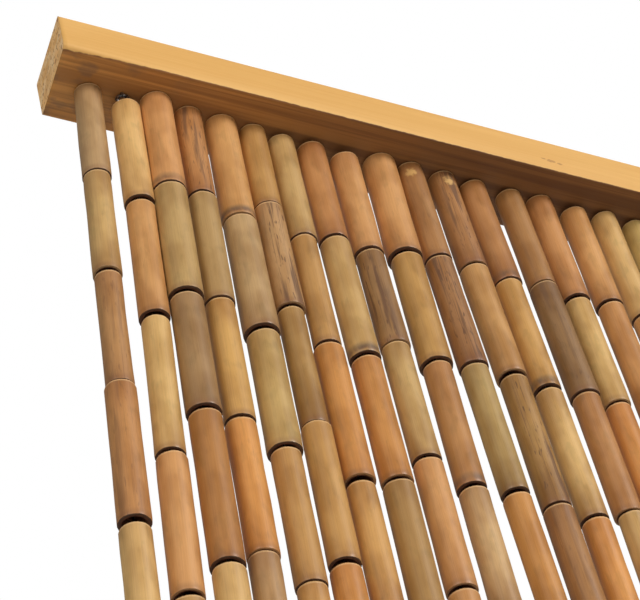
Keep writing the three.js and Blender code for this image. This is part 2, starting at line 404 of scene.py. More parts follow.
def add_world():
    """A white studio: the camera sees plain white, and the object gets a soft low light from it."""
    world = bpy.data.worlds.new("white_studio")
    scene.world = world
    world.use_nodes = True
    nodes, links = world.node_tree.nodes, world.node_tree.links
    nodes.clear()
    output = nodes.new("ShaderNodeOutputWorld")
    mix = nodes.new("ShaderNodeMixShader")
    path = nodes.new("ShaderNodeLightPath")
    soft = nodes.new("ShaderNodeBackground")
    soft.inputs["Color"].default_value = STUDIO_TINT
    soft.inputs["Strength"].default_value = STUDIO_STRENGTH
    seen = nodes.new("ShaderNodeBackground")
    seen.inputs["Color"].default_value = WHITE
    seen.inputs["Strength"].default_value = 1.0
    links.new(path.outputs["Is Camera Ray"], mix.inputs["Fac"])
    links.new(soft.outputs["Background"], mix.inputs[1])
    links.new(seen.outputs["Background"], mix.inputs[2])
    links.new(mix.outputs["Shader"], output.inputs["Surface"])


# Shader parts

class Shader:
    """A node tree being filled, with short calls for the nodes that the finishes use."""

    def __init__(self, tree):
        self.tree = tree
        self.nodes = tree.nodes
        self.links = tree.links

    def feed(self, socket, value):
        """Links another node's output to a socket, or sets a plain value on it."""
        if isinstance(value, bpy.types.NodeSocket):
            self.links.new(value, socket)
        elif value is not None:
            socket.default_value = value

    def attribute(self, name, output="Vector"):
        node = self.nodes.new("ShaderNodeAttribute")
        node.attribute_name = name
        return node.outputs[output]

    def math(self, operation, first, second=None, clamp=False):
        node = self.nodes.new("ShaderNodeMath")
        node.operation = operation
        node.use_clamp = clamp
        self.feed(node.inputs[0], first)
        self.feed(node.inputs[1], second)
        return node.outputs[0]

    def times(self, first, second, clamp=False):
        return self.math("MULTIPLY", first, second, clamp)

    def plus(self, first, second):
        return self.math("ADD", first, second)

    def vector(self, operation, first, second=None, scale=None):
        node = self.nodes.new("ShaderNodeVectorMath")
        node.operation = operation
        self.feed(node.inputs[0], first)
        if second is not None:
            self.feed(node.inputs[1], second)
        if scale is not None:
            self.feed(node.inputs["Scale"], scale)
        return node.outputs["Value" if operation in ("LENGTH", "DISTANCE", "DOT_PRODUCT") else "Vector"]

    def parts(self, vector):
        node = self.nodes.new("ShaderNodeSeparateXYZ")
        self.feed(node.inputs[0], vector)
        return node.outputs

    def join(self, x, y, z):
        node = self.nodes.new("ShaderNodeCombineXYZ")
        for socket, value in zip(node.inputs, (x, y, z)):
            self.feed(socket, value)
        return node.outputs[0]

    def noise(self, vector, scale=1.0, detail=2.0, roughness=0.5, distortion=0.0):
        node = self.nodes.new("ShaderNodeTexNoise")
        self.feed(node.inputs["Vector"], vector)
        node.inputs["Scale"].default_value = scale
        node.inputs["Detail"].default_value = detail
        node.inputs["Roughness"].default_value = roughness
        node.inputs["Distortion"].default_value = distortion
        return node.outputs["Fac"]

    def clouds(self, place, stretch, **settings):
        """Noise on a place that is stretched along each axis."""
        return self.noise(self.vector("MULTIPLY", place, stretch), **settings)

    def ramp(self, value, low, high, to_low=0.0, to_high=1.0):
        """A value brought smoothly from one range to another. The range may run downwards."""
        node = self.nodes.new("ShaderNodeMapRange")
        node.interpolation_type = "SMOOTHSTEP"
        for socket, part in zip(node.inputs, (value, low, high, to_low, to_high)):
            self.feed(socket, part)
        return node.outputs[0]

    def blend(self, share, first, second, kind="MIX"):
        node = self.nodes.new("ShaderNodeMix")
        node.data_type = "RGBA"
        node.blend_type = kind
        self.feed(node.inputs["Factor"], share)
        self.feed(node.inputs[6], first)
        self.feed(node.inputs[7], second)
        return node.outputs[2]

    def tinted(self, base, by):
        """A colour multiplied by another."""
        return self.blend(1.0, base, by, "MULTIPLY")

    def over(self, base, mask, share, name):
        """A colour with a named tone laid over it, by a share of a mask."""
        return self.blend(self.times(mask, share), base, paint(name))

    def bump(self, height, strength, distance):
        node = self.nodes.new("ShaderNodeBump")
        node.inputs["Strength"].default_value = strength
        node.inputs["Distance"].default_value = distance
        self.feed(node.inputs["Height"], height)
        return node.outputs["Normal"]

    def group(self, group, **values):
        """A node group with its inputs set by their names."""
        node = self.nodes.new("ShaderNodeGroup")
        node.node_tree = group
        for label, value in values.items():
            self.feed(node.inputs[label.replace("_", " ").capitalize()], value)
        return node.outputs

    def dress(self, **values):
        """Sets or links the inputs of the finish's Principled BSDF by their names, and gives the BSDF."""
        surface = self.nodes["Principled BSDF"]
        for label, value in values.items():
            self.feed(surface.inputs[label.replace("_", " ").title()], value)
        return surface


def new_finish(name):
    """A new material and its node tree for filling."""
    material = bpy.data.materials.new(name)
    material.use_nodes = True
    return material, Shader(material.node_tree)


def fibre_group():
    """Lengthwise fibres: a mask of thin lines that run along the third coordinate."""
    tree = bpy.data.node_groups.new("lengthwise_fibres", "ShaderNodeTree")
    face = tree.interface
    face.new_socket("Place", in_out="INPUT", socket_type="NodeSocketVector")
    for label, value in (("Across", 1.0), ("Along", 0.05), ("Low", 0.4), ("High", 0.6)):
        face.new_socket(label, in_out="INPUT", socket_type="NodeSocketFloat").default_value = value
    face.new_socket("Mask", in_out="OUTPUT", socket_type="NodeSocketFloat")
    shader = Shader(tree)
    inward = tree.nodes.new("NodeGroupInput").outputs
    outward = tree.nodes.new("NodeGroupOutput").inputs
    stretch = shader.join(inward["Across"], inward["Across"], inward["Along"])
    lines = shader.clouds(inward["Place"], stretch, detail=3.0, roughness=0.6)
    shader.feed(outward["Mask"], shader.ramp(lines, inward["Low"], inward["High"]))
    return tree


def tube_place(shader):
    """A tube's own place in millimetres, its size, and the place shifted apart from that of other tubes."""
    size = shader.vector("SCALE", shader.attribute("size"), scale=1 / MM)
    own = shader.vector("MULTIPLY", shader.attribute("grain"), size)
    seed = shader.attribute("seed", "Fac")
    shift = shader.vector("SCALE", PATTERN_SHIFT, scale=seed)
    return own, size, shader.vector("ADD", own, shift)


def skin_finish(fibres):
    """Bamboo skin: satin, with mottled stain, fine fibres, dark streaks, a node band and chips."""
    material, shader = new_finish("bamboo_skin")
    own, size, place = tube_place(shader)
    stain = shader.attribute("stain", "Color")
    streaks, node, chip = shader.parts(shader.attribute("marks"))[:3]
    radius = shader.parts(size)[0]
    length = shader.parts(size)[2]
    down = shader.times(shader.parts(own)[2], -1.0)
    from_bottom = shader.math("SUBTRACT", length, down)

    # Mottling and fine fibres
    slow = shader.clouds(place, (0.13, 0.13, 0.06))
    mottling = shader.blend(shader.ramp(slow, 0.34, 0.64), tint("deep patch"), tint("pale patch"))
    base = shader.tinted(stain, mottling)
    patch = shader.clouds(place, (0.30, 0.30, 0.11), detail=3.0, distortion=0.4)
    greyed = shader.tinted(base, tint("grey patch"))
    base = shader.blend(shader.ramp(patch, 0.52, 0.70, 0.0, 0.75), base, greyed)
    lines = shader.group(fibres, place=place, across=2.6, along=0.035, low=0.38, high=0.62)["Mask"]
    base = shader.tinted(base, shader.blend(lines, tint("deep fibre"), tint("pale fibre")))

    # Darker stain towards both ends
    head_shade, foot_shade = shader.parts(shader.attribute("ends"))[:2]
    drift = shader.times(shader.clouds(place, (0.3, 0.3, 0.1)), 14.0)
    near_head = shader.ramp(shader.plus(down, drift), *END_SHADE_REACH)
    near_foot = shader.ramp(shader.plus(from_bottom, drift), *END_SHADE_REACH)
    ends = shader.math("MAXIMUM", shader.times(near_head, head_shade), shader.times(near_foot, foot_shade))
    base = shader.blend(ends, base, shader.tinted(base, tint("dark end")))

    # Dark streaks and specks, strongest on the tube's marked side
    side = shader.attribute("side", "Fac")
    facing = shader.join(shader.math("COSINE", side), shader.math("SINE", side), 0.0)
    around = shader.math("DIVIDE", shader.vector("DOT_PRODUCT", own, facing), radius)
    window = shader.ramp(around, 0.45, 0.9, 0.25, 1.0)
    thick = shader.group(fibres, place=place, across=0.42, along=0.022, low=0.52, high=0.66)["Mask"]
    thin = shader.group(fibres, place=place, across=2.0, along=0.035, low=0.57, high=0.68)["Mask"]
    speck = shader.ramp(shader.clouds(place, (1.3, 1.3, 0.22), detail=1.0), 0.60, 0.74)
    dark = shader.math("MAXIMUM", shader.times(thin, 0.7), shader.times(speck, 0.9))
    dark = shader.math("MAXIMUM", dark, shader.times(thick, 0.85))
    dark = shader.times(shader.times(dark, window), streaks, clamp=True)
    base = shader.over(base, dark, 0.9, "streak")

    # Node band, darker foot and pale upper edge
    wobble = shader.clouds(place, (0.35, 0.35, 0.2))
    band_place = shader.plus(from_bottom, shader.times(wobble, 2.4))
    lower, upper = (shader.ramp(band_place, *reach) for reach in (NODE_LOWER_REACH, NODE_UPPER_REACH))
    band = shader.times(shader.times(lower, upper), node)
    band = shader.times(band, shader.ramp(wobble, 0.3, 0.7, 0.45, 0.95))
    base = shader.blend(band, base, paint("node"))
    base = shader.blend(shader.ramp(from_bottom, *FOOT_REACH, 0.0, 0.34), base, paint("foot"))
    base = shader.blend(shader.ramp(down, *LIP_REACH, 0.0, 0.6), base, paint("lip"))

    # A chip on the marked side, near the top
    spot = shader.vector("SCALE", facing, scale=radius)
    spot = shader.vector("ADD", spot, shader.join(0.0, 0.0, shader.times(length, -CHIP_DOWN)))
    ragged = shader.times(shader.noise(place, scale=0.6, detail=3.0), 4.2)
    apart = shader.plus(shader.vector("DISTANCE", own, spot), ragged)
    chip_mask = shader.times(shader.ramp(apart, *CHIP_REACH), chip)
    base = shader.over(base, chip_mask, 0.85, "chip")

    rough = shader.plus(shader.ramp(slow, 0.3, 0.7, 0.40, 0.54), shader.times(dark, 0.2))
    ridge = shader.plus(shader.times(lines, 0.35), shader.times(band, -0.5))
    ridge = shader.math("SUBTRACT", ridge, shader.times(chip_mask, 0.8))
    shader.dress(base_color=base, roughness=rough, coat_weight=0.12, coat_roughness=0.28,
                 normal=shader.bump(ridge, 0.35, 0.12 * MM))
    return material


def cut_finish(fibres):
    """The sawn and bevelled ends of a tube: paler than its skin, with dark pores and painted shade at the
    foot.
    """
    material, shader = new_finish("bamboo_cut")
    place = tube_place(shader)[2]
    stain = shader.attribute("stain", "Color")
    base = shader.blend(0.40, stain, paint("cut"))
    pores = shader.ramp(shader.noise(place, scale=2.6), 0.50, 0.66)
    base = shader.over(base, pores, 0.45, "cut pore")
    lines = shader.group(fibres, place=place, across=3.4, along=0.3, low=0.4, high=0.65)["Mask"]
    base = shader.over(base, lines, 0.18, "cut line")
    # The bottom end is painted dark brown as shade, less on tubes with a pale foot
    pale_foot = shader.parts(shader.attribute("ends"))[2]
    at_foot = shader.ramp(shader.parts(shader.attribute("grain"))[2], -0.4, -0.6)
    painted_foot_shade = shader.math("SUBTRACT", 0.95, shader.times(pale_foot, 0.5))
    base = shader.over(base, at_foot, painted_foot_shade, "painted_foot_shade")
    shader.dress(base_color=base, roughness=0.7, normal=shader.bump(pores, 0.3, 0.08 * MM))
    return material


def bore_finish():
    """The hollow of a tube: dark reddish brown as painted shade, and dull."""
    material, shader = new_finish("bamboo_bore")
    place = tube_place(shader)[2]
    flecks = shader.noise(place, scale=0.8, detail=3.0)
    base = shader.blend(shader.ramp(flecks, 0.35, 0.7), paint("deep bore"), paint("pale bore"))
    shader.dress(base_color=base, roughness=0.85)
    return material


def wire_finish():
    """Dull zinc wire with darker tarnish."""
    material, shader = new_finish("zinc_wire")
    place = shader.nodes.new("ShaderNodeTexCoord").outputs["Object"]
    tarnish = shader.noise(place, scale=900.0)
    base = shader.blend(shader.ramp(tarnish, 0.35, 0.65), WIRE_TARNISH, WIRE_BRIGHT)
    shader.dress(base_color=base, roughness=shader.ramp(tarnish, 0.3, 0.7, 0.42, 0.26), metallic=1.0)
    return material


def rail_place(shader):
    """The place on the headrail in millimetres, its length as the third coordinate, and its height."""
    x, y, z = shader.parts(shader.nodes.new("ShaderNodeTexCoord").outputs["Object"])[:3]
    return shader.vector("SCALE", shader.join(y, z, x), scale=1 / MM), z


def rail_finish(fibres):
    """Honey varnish on plain wood: even on the front, darker under it with long grain and painted shade."""
    material, shader = new_finish("headrail_varnish")
    place, height = rail_place(shader)
    from_end = shader.math("SUBTRACT", shader.parts(place)[2], RAIL_LEFT)

    # Front, top and back, with small dark marks in the front
    slow = shader.clouds(place, (0.09, 0.09, 0.006), detail=3.0)
    base = shader.blend(shader.ramp(slow, 0.35, 0.68), paint("deep varnish"), paint("pale varnish"))
    lines = shader.group(fibres, place=place, across=0.9, along=0.012, low=0.42, high=0.66)["Mask"]
    base = shader.over(base, lines, 0.10, "varnish line")
    for x, z, size in BLEMISHES:
        apart = shader.vector("SUBTRACT", place, (-RAIL_DEPTH / 2, z, x))
        spot = shader.vector("LENGTH", shader.vector("MULTIPLY", apart, (1.0, 1.5, 0.6)))
        ragged = shader.plus(spot, shader.times(shader.noise(place, scale=0.9), size))
        mark = shader.ramp(ragged, size * 1.5, size * 1.1, 0.0, 0.5)
        base = shader.blend(mark, base, paint("blemish"))

    # Underside: grain and painted shade of the strands, deepening away from its smudged left end
    bands = shader.group(fibres, place=place, across=0.16, along=0.004, low=0.45, high=0.60)["Mask"]
    grain = shader.group(fibres, place=place, across=0.55, along=0.009, low=0.48, high=0.66)["Mask"]
    shade = shader.math("MAXIMUM", shader.times(bands, 0.55), shader.times(grain, 0.45))
    bottom = shader.blend(shade, paint("pale underside"), paint("deep underside"))
    inward = shader.ramp(from_end, *UNDERSIDE_SHADE_REACH)
    bottom = shader.blend(inward, bottom, shader.tinted(bottom, tint("shaded underside")))
    at_end = shader.ramp(from_end, *SMUDGES_REACH)
    smudge = shader.ramp(shader.clouds(place, (0.14, 0.14, 0.07), detail=3.0), 0.50, 0.62)
    smudge = shader.times(smudge, shader.times(at_end, 0.45))
    bottom = shader.blend(smudge, bottom, paint("smudge"))

    # The underside's finish ends at a ragged line, and a dark line runs just below that
    chew = shader.clouds(place, (0.4, 0.4, 0.35), detail=3.0)
    edge = shader.plus(height, shader.times(chew, 0.5 * MM))
    under = shader.ramp(edge, (RAIL_BOTTOM + 0.75) * MM, (RAIL_BOTTOM + 0.45) * MM)
    base = shader.blend(under, base, bottom)
    above = shader.ramp(height, (RAIL_BOTTOM + 0.05) * MM, (RAIL_BOTTOM + 0.3) * MM)
    base = shader.over(base, shader.times(under, above), 0.7, "arris")

    shader.dress(base_color=base, roughness=shader.ramp(lines, 0.0, 1.0, 0.58, 0.66),
                 normal=shader.bump(lines, 0.25, 0.10 * MM))
    return material


def rail_end_finish():
    """Sawn end grain: pinkish and pale, near white as painted light on the end, with brown pores and saw
    marks.
    """
    material, shader = new_finish("headrail_end")
    place = rail_place(shader)[0]
    rings = shader.clouds(place, (0.12, 0.5, 0.05))
    base = shader.blend(shader.ramp(rings, 0.3, 0.7), paint("deep end"), paint("pale end"))
    rim = shader.clouds(place, (0.12, 0.12, 0.1))
    base = shader.blend(shader.ramp(rim, 0.48, 0.62, 0.0, 0.6), base, paint("end rim"))
    pores = shader.ramp(shader.clouds(place, (1.1, 0.42, 0.5)), 0.56, 0.66)
    base = shader.over(base, pores, 0.7, "end pore")
    shader.dress(base_color=base, roughness=0.8, normal=shader.bump(pores, 0.6, 0.25 * MM))
    return material


def floor_finish():
    """A pale floor that fades into the white studio away from the curtain."""
    material, shader = new_finish("pale_floor")
    place = shader.nodes.new("ShaderNodeTexCoord").outputs["Object"]
    cloud = shader.noise(place, scale=2.0)
    base = shader.blend(cloud, FLOOR_DEEP, FLOOR_PALE)
    surface = shader.dress(base_color=base, roughness=0.6)
    flat_place = shader.vector("MULTIPLY", place, (1.0, 1.0, 0.0))
    away = shader.ramp(shader.vector("LENGTH", flat_place), FLOOR_FADE_START, FLOOR_FADE_END)
    seen = shader.nodes.new("ShaderNodeLightPath").outputs["Is Camera Ray"]
    white = shader.nodes.new("ShaderNodeEmission")
    mix = shader.nodes.new("ShaderNodeMixShader")
    shader.feed(mix.inputs[0], shader.times(away, seen))
    shader.feed(mix.inputs[1], surface.outputs[0])
    shader.feed(mix.inputs[2], white.outputs[0])
    shader.feed(shader.nodes["Material Output"].inputs["Surface"], mix.outputs[0])
    return material


# Headrail

def near_end(x):
    """How near a place lies to the headrail's left end: 1 at the end, 0 past the worn stretch."""
    return max(0.0, 1 - (x - RAIL_LEFT) / RAIL_WORN_REACH)


def rail_section(x):
    """The headrail's outline at one place along it, with its worn lower front edge at the left end."""
    worn = near_end(x) ** RAIL_WORN_CURVE
    wave = RAIL_WAVE * sum(share * math.sin(x * turn + start) for turn, share, start in RAIL_WAVES)
    corners = (
        (-RAIL_DEPTH / 2, RAIL_BOTTOM, RAIL_EDGE + (RAIL_WORN_EDGE - RAIL_EDGE) * worn + wave, 180),
        (RAIL_DEPTH / 2, RAIL_BOTTOM, RAIL_BACK_EDGE, 270),
        (RAIL_DEPTH / 2, 0.0, RAIL_EDGE, 0),
        (-RAIL_DEPTH / 2, 0.0, RAIL_EDGE - wave, 90),
    )
    outline = []
    for y, z, radius, start in corners:
        middle_y = y - math.copysign(radius, y)
        middle_z = z + radius if z < RAIL_BOTTOM / 2 else z - radius
        for step in range(CORNER_STEPS + 1):
            angle = math.radians(start + 90 * step / CORNER_STEPS)
            outline.append((middle_y + radius * math.cos(angle), middle_z + radius * math.sin(angle)))
    return outline


def rail_stations():
    """Places along the headrail, closer together at its worn end."""
    fine = np.arange(0, RAIL_WORN_REACH, RAIL_FINE_STEP)
    coarse = np.arange(RAIL_WORN_REACH, RAIL_LENGTH, RAIL_COARSE_STEP)
    return [RAIL_LEFT + step for step in (*fine, *coarse, RAIL_LENGTH)]


def rail_mesh(varnish, end_grain):
    """The headrail as rings of points joined lengthwise, with a flat face at each end."""
    stations = rail_stations()
    points, faces, slots = [], [], []
    for x in stations:
        outline = rail_section(x)
        for y, z in outline:
            cut = RAIL_END_SKEW * (0.5 + y / RAIL_DEPTH) + RAIL_END_SLANT * z / RAIL_BOTTOM
            points.append(((x + cut * near_end(x)) * MM, y * MM, z * MM))
    ring = len(outline)
    for row in range(len(stations) - 1):
        for side in range(ring):
            after = (side + 1) % ring
            here, there = row * ring, (row + 1) * ring
            faces.append((here + side, there + side, there + after, here + after))
            slots.append(0)
    faces.append(tuple(range(ring)))
    faces.append(tuple(reversed(range((len(stations) - 1) * ring, len(stations) * ring))))
    slots += [1, 1]
    mesh = bpy.data.meshes.new("headrail_batten")
    mesh.from_pydata(points, [], faces)
    mesh.materials.append(varnish)
    mesh.materials.append(end_grain)
    mesh.polygons.foreach_set("material_index", slots)
    mesh.polygons.foreach_set("use_smooth", [slot == 0 for slot in slots])
    mesh.update()
    return mesh


# Strands and tubes

def strand_plan(strand):
    """How one strand hangs, with the height of each joint, in millimetres, as in the solids."""
    last = LEFT_STRANDS[-1]
    fade = max(0.0, 1 - (strand - len(LEFT_STRANDS) + 1) / BOW_FADE_STRANDS)
    if strand < len(LEFT_STRANDS):
        plan = PLAIN_STRAND | LEFT_STRANDS[strand]
    else:
        plan = PLAIN_STRAND | dict(
            shift=last["shift"] * fade + EYE_SPREAD * spread(strand, SHIFT_USE),
            forward=FORWARD_SPREAD * spread(strand, FORWARD_USE),
            drop=EYE_DROP * (1 + spread(strand, DROP_USE)),
            bow=last["bow"] * fade,
        )
    fixed = list(plan["tubes"])
    free = [TUBE_LENGTH + TUBE_LENGTH_SPREAD * spread(strand, FIRST_TUBE_USE + tube)
            for tube in range(len(fixed), TUBES_PER_STRAND)]
    total = STRAND_LENGTH + STRAND_LENGTH_SPREAD * spread(strand, LENGTH_USE)
    stretch = (total - sum(fixed)) / sum(free)
    joints = [RAIL_BOTTOM - TOP_CLEARANCE - plan["drop"]]
    for length in fixed + [length * stretch for length in free]:
        joints.append(joints[-1] - length)
    plan["joints"] = joints
    plan["x"] = RAIL_LEFT + END_MARGIN + strand * PITCH + plan["shift"]
    plan["y"] = STRAND_LINE_Y - plan["forward"]
    return plan


def on_strand(plan, z):
    """The strand's middle line at a height: a slow bow that is nothing at its top and bottom."""
    top, bottom = plan["joints"][0], plan["joints"][-1]
    along = min(1.0, max(0.0, (top - z) / (top - bottom)))
    return Vector((plan["x"] + plan["bow"] * math.sin(math.pi * along), plan["y"], z))


def joint_place(plan, joint, z):
    """The place of a joint: aside of the bow by what is listed, and past the list by less and less."""
    listed = plan["aside"]
    past = max(0, joint - len(listed) + 1)
    aside = listed[min(joint, len(listed) - 1)] * ASIDE_FADE ** past
    return on_strand(plan, z) + Vector((aside, 0, 0))


def chosen(tube, listed, otherwise):
    """What is listed for a tube, or else another value."""
    return listed[tube] if tube < len(listed) else otherwise


def stain_colour(words):
    """The colour of a stain, which a word before its name makes lighter or darker."""
    *shade, name = words.split()
    return np.array(colour(STAINS[name])) * (SHADES[shade[0]] if shade else 1.0)


def tube_rows(strand, plan, draw):
    """One row for each tube of a strand: its place, turn, size, stain and marks."""
    names = list(STAINS)
    shares = np.array([STAIN_SHARES[name] for name in names], float)
    rows = []
    stains = plan["stains"]
    for tube in range(TUBES_PER_STRAND):
        top_z, next_z = plan["joints"][tube], plan["joints"][tube + 1]
        free_gap = GAP_LEAST + (GAP_MOST - GAP_LEAST) * draw.random() ** GAP_BIAS
        gap = chosen(tube, plan["gaps"], free_gap)
        width = chosen(tube, plan["widths"], TUBE_WIDTH + TUBE_WIDTH_SPREAD * draw.normal())
        stain = chosen(tube, stains, draw.choice(names, p=shares / shares.sum()))
        in_photo = tube < len(stains)
        stray = (PHOTO_STRAY if in_photo else JOINT_STRAY) * draw.normal(size=4)
        if tube == 0:
            top_z += TOP_RISE
        head = joint_place(plan, tube, top_z) + Vector((stray[0], stray[1], 0))
        foot = joint_place(plan, tube + 1, next_z) + Vector((stray[2], stray[3], 0))
        away = (head - foot).normalized()
        marks = MARKS.get((strand + 1, tube + 1))
        if marks is None:
            streaks = FAINT_STREAKS if in_photo else max(0.0, STREAK_RISE * draw.random() - STREAK_START)
            node = float(not in_photo and draw.random() > 1 - DARK_NODES)
            marks = dict(streaks=streaks, node=node)
        spin = Matrix.Rotation(0.0 if in_photo else draw.uniform(0, 2 * math.pi), 3, "Z")
        turn = (UP.rotation_difference(away).to_matrix() @ spin).to_euler()
        stray_light = STAIN_SPREAD * (draw.normal() + HUE_SHARE * draw.normal(size=3))
        light = 1 + PHOTO_SPREAD_SHARE * stray_light if in_photo else UNSEEN_SHADE + stray_light
        rows.append(dict(
            place=head * MM,
            turn=tuple(turn),
            size=(width / 2 * MM, width / 2 * MM, (top_z - next_z - gap) * MM),
            stain=tuple(np.clip(stain_colour(stain) * light, 0, 1)),
            marks=(marks.get("streaks", 0.0), marks.get("node", 0.0), marks.get("chip", 0.0)),
            side=math.radians(marks.get("side", CAMERA_SIDE)),
            ends=(*(END_SHADE * draw.random(2) ** 2), float(draw.random() < PALE_FEET)),
            seed=draw.random(),
            near=strand < NEAR_STRANDS and tube < NEAR_TUBES,
        ))
    return rows


def tube_form(name, outline, sides):
    """A hollow tube of unit radius and length, closed on itself, from its outline."""
    points, faces, zones = [], [], []
    for radius, height, _ in outline:
        for side in range(sides):
            angle = 2 * math.pi * side / sides
            points.append((radius * math.cos(angle), radius * math.sin(angle), height))
    for row in range(len(outline)):
        here = row * sides
        there = (row + 1) % len(outline) * sides
        for side in range(sides):
            after = (side + 1) % sides
            faces.append((here + side, there + side, there + after, here + after))
            zones.append(outline[row][2])
    mesh = bpy.data.meshes.new(name)
    mesh.from_pydata(points, [], faces)
    store(mesh, "grain", "FLOAT_VECTOR", points)
    zone = mesh.attributes.new("zone", "INT", "FACE")
    zone.data.foreach_set("value", zones)
    mesh.polygons.foreach_set("use_smooth", [True] * len(faces))
    sharp = []
    for edge in mesh.edges:
        first, second = (corner // sides for corner in edge.vertices)
        before = outline[first - 1][2]
        sharp.append(first == second and (before != outline[first][2] or first in (0, len(outline) - 1)))
    mesh.attributes.new("sharp_edge", "BOOLEAN", "EDGE").data.foreach_set("value", sharp)
    form = bpy.data.objects.new(name, mesh)
    scene.collection.objects.link(form)
    return form


def store(mesh, name, kind, values):
    """Puts one value for each point on a mesh under a name."""
    layer = mesh.attributes.new(name, kind, "POINT")
    part = "vector" if kind == "FLOAT_VECTOR" else "value"
    layer.data.foreach_set(part, np.array(values, np.float32).ravel())


def points_mesh(name, rows):
    """One point for each tube, with what its row says about it."""
    mesh = bpy.data.meshes.new(name)
    mesh.from_pydata([row["place"] for row in rows], [], [])
    for label in ("turn", "size", "stain", "marks", "ends"):
        store(mesh, label, "FLOAT_VECTOR", [row[label] for row in rows])
    for label in ("side", "seed"):
        store(mesh, label, "FLOAT", [row[label] for row in rows])
    near = mesh.attributes.new("near", "BOOLEAN", "POINT")
    near.data.foreach_set("value", [bool(row["near"]) for row in rows])
    return mesh


# Geometry Nodes trees

class Maker:
    """A geometry tree being filled, with named inputs."""

    def __init__(self, name, inputs):
        self.tree = bpy.data.node_groups.new(name, "GeometryNodeTree")
        face = self.tree.interface
        face.new_socket("Geometry", in_out="INPUT", socket_type="NodeSocketGeometry")
        for label, kind in inputs:
            face.new_socket(label, in_out="INPUT", socket_type=kind)
        face.new_socket("Geometry", in_out="OUTPUT", socket_type="NodeSocketGeometry")
        self.given = self.tree.nodes.new("NodeGroupInput").outputs
        self.result = self.tree.nodes.new("NodeGroupOutput").inputs[0]

    def node(self, kind, feeds=(), **settings):
        """A new node, with its settings and what each of its inputs gets."""
        node = self.tree.nodes.new(kind)
        for label, value in settings.items():
            setattr(node, label, value)
        for label, value in feeds:
            if isinstance(value, bpy.types.NodeSocket):
                self.tree.links.new(value, node.inputs[label])
            else:
                node.inputs[label].default_value = value
        return node

    def named(self, name, kind):
        """What the geometry holds under a name."""
        node = self.node("GeometryNodeInputNamedAttribute", [("Name", name)], data_type=kind)
        return node.outputs["Attribute"]

    def finish(self, geometry):
        """Links the tree's result and gives the tree."""
        self.tree.links.new(geometry, self.result)
        return self.tree


def tubes_tree(skin, cut, bore):
    """Puts a tube form on every point, turned and sized by the point, and makes it a little uneven."""
    maker = Maker("tubes_on_points", [
        ("Near tube", "NodeSocketObject"), ("Far tube", "NodeSocketObject"),
        ("Unevenness", "NodeSocketFloat"), ("Lump size", "NodeSocketFloat"), ("Seed", "NodeSocketInt"),
    ])
    given = maker.given
    near = maker.named("near", "BOOLEAN")
    far = maker.node("FunctionNodeBooleanMath", [(0, near)], operation="NOT").outputs[0]
    join = maker.node("GeometryNodeJoinGeometry")
    for label, choice in (("Near tube", near), ("Far tube", far)):
        form = maker.node("GeometryNodeObjectInfo", [("Object", given[label])]).outputs["Geometry"]
        copies = maker.node("GeometryNodeInstanceOnPoints", [
            ("Points", given["Geometry"]), ("Selection", choice), ("Instance", form),
            ("Rotation", maker.named("turn", "FLOAT_VECTOR")),
            ("Scale", maker.named("size", "FLOAT_VECTOR")),
        ])
        maker.tree.links.new(copies.outputs["Instances"], join.inputs[0])
    solid = maker.node("GeometryNodeRealizeInstances", [("Geometry", join.outputs[0])]).outputs[0]
    place = maker.node("GeometryNodeInputPosition").outputs[0]
    scaled = maker.node("ShaderNodeVectorMath", [(0, place), (1, given["Lump size"])], operation="DIVIDE")
    lumps = maker.node("ShaderNodeTexNoise", [("Vector", scaled.outputs[0]), ("W", given["Seed"])],
                       noise_dimensions="4D").outputs["Color"]
    centred = maker.node("ShaderNodeVectorMath", [(0, lumps), (1, NOISE_MIDDLE)], operation="SUBTRACT")
    moved = maker.node("ShaderNodeVectorMath", [(0, centred.outputs[0]), ("Scale", given["Unevenness"])],
                       operation="SCALE")
    shaped = maker.node("GeometryNodeSetPosition", [
        ("Geometry", solid), ("Offset", moved.outputs[0])]).outputs[0]
    for zone, material in ((SKIN, skin), (CUT, cut), (BORE, bore)):
        same = maker.node("FunctionNodeCompare", [(2, maker.named("zone", "INT")), (3, zone)],
                          data_type="INT", operation="EQUAL").outputs[0]
        shaped = maker.node("GeometryNodeSetMaterial", [
            ("Geometry", shaped), ("Selection", same), ("Material", material)]).outputs[0]
    return maker.finish(shaped)


def wires_tree(material):
    """Gives every edge line a round section."""
    maker = Maker("wire_on_lines", [("Wire radius", "NodeSocketFloat"), ("Wire sides", "NodeSocketInt")])
    lines = maker.node("GeometryNodeMeshToCurve", [("Mesh", maker.given["Geometry"])]).outputs[0]
    section = maker.node("GeometryNodeCurvePrimitiveCircle", [
        ("Resolution", maker.given["Wire sides"]), ("Radius", maker.given["Wire radius"])]).outputs[0]
    tube = maker.node("GeometryNodeCurveToMesh", [
        ("Curve", lines), ("Profile Curve", section), ("Fill Caps", True)]).outputs[0]
    real = maker.node("GeometryNodeRealizeInstances", [("Geometry", tube)]).outputs[0]
    return maker.finish(maker.node("GeometryNodeSetMaterial", [
        ("Geometry", real), ("Material", material)]).outputs[0])


def socket_id(tree, label):
    """The identifier of a tree's named input."""
    return next(item.identifier for item in tree.interface.items_tree
                if item.name == label and item.in_out == "INPUT")


def made(name, mesh, tree, values):
    """Runs a tree on a mesh and gives the result as a plain object at the origin."""
    carrier = bpy.data.objects.new(name + "_carrier", mesh)
    scene.collection.objects.link(carrier)
    modifier = carrier.modifiers.new("maker", "NODES")
    modifier.node_group = tree
    for label, value in values.items():
        modifier[socket_id(tree, label)] = value
    graph = bpy.context.evaluated_depsgraph_get()
    result = bpy.data.meshes.new_from_object(
        carrier.evaluated_get(graph), preserve_all_data_layers=True, depsgraph=graph)
    carrier.modifiers.remove(modifier)
    bpy.data.objects.remove(carrier)
    result.name = name
    piece = bpy.data.objects.new(name, result)
    scene.collection.objects.link(piece)
    return piece


# Screw eyes and wire

